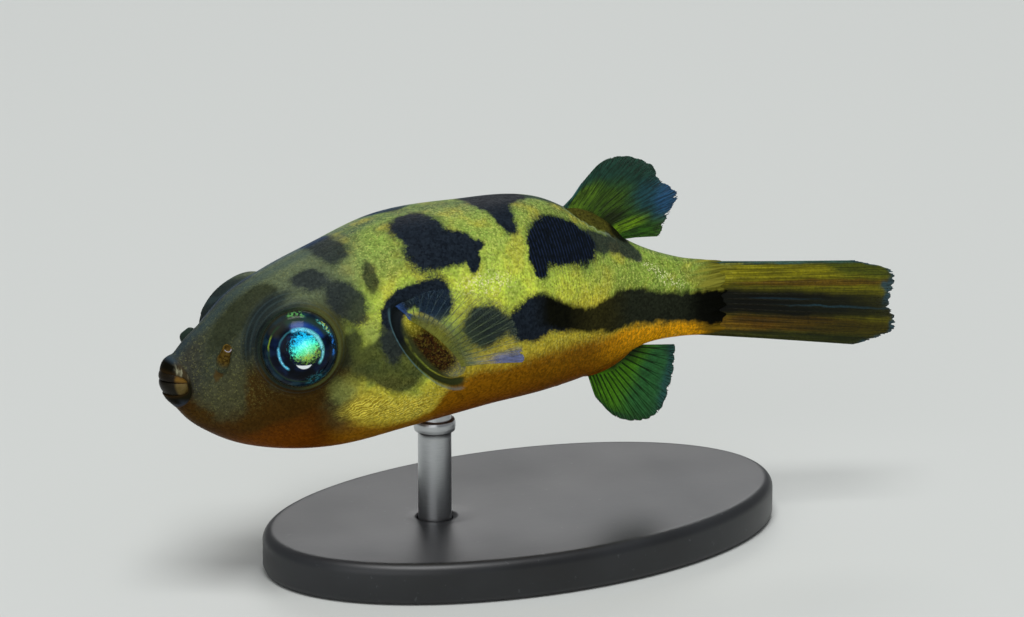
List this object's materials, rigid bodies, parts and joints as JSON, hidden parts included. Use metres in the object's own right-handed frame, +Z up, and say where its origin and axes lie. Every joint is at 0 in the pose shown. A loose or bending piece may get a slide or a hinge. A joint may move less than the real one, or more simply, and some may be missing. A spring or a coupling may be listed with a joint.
{
  "type": "freshwater pufferfish",
  "caption": "Still, life-size dwarf freshwater pufferfish swimming level with its fins spread, held by a short rod on an oval display stand.",
  "frame": {"origin": "on the underside of the stand, under the middle of the whole model's box", "axes": "+X from the snout towards the tail, +Y to the fish's right side, +Z up"},
  "size_m": [0.0281, 0.012, 0.0139],
  "materials": {
    "skin": "wet-looking painted resin, yellow-green with blue-black blotches and an orange-brown belly",
    "beak": "smooth ivory",
    "eye": "clear gloss over a blue-black iris and an iridescent cyan pupil",
    "fin": "thin translucent membrane over branching rays",
    "stand_base": "satin black",
    "stand_rod": "fine brushed"
  },
  "bodies": {
    "root": {"head": "skin", "trunk": "skin", "belly": "skin", "tail_stalk": "skin", "upper_lip": "skin", "lower_lip": "skin", "nostril_left": "skin", "nostril_right": "skin", "dorsal_fin_base": "skin", "anal_fin_base": "skin", "pectoral_base_left": "skin", "pectoral_base_right": "skin", "upper_beak": "beak", "lower_beak": "beak", "eye_left": "eye", "eye_right": "eye", "dorsal_fin": "fin", "anal_fin": "fin", "caudal_fin": "fin", "pectoral_fin_left": "fin", "pectoral_fin_right": "fin", "stand_base": "stand_base", "stand_rod": "stand_rod"}
  },
  "joints": []
}
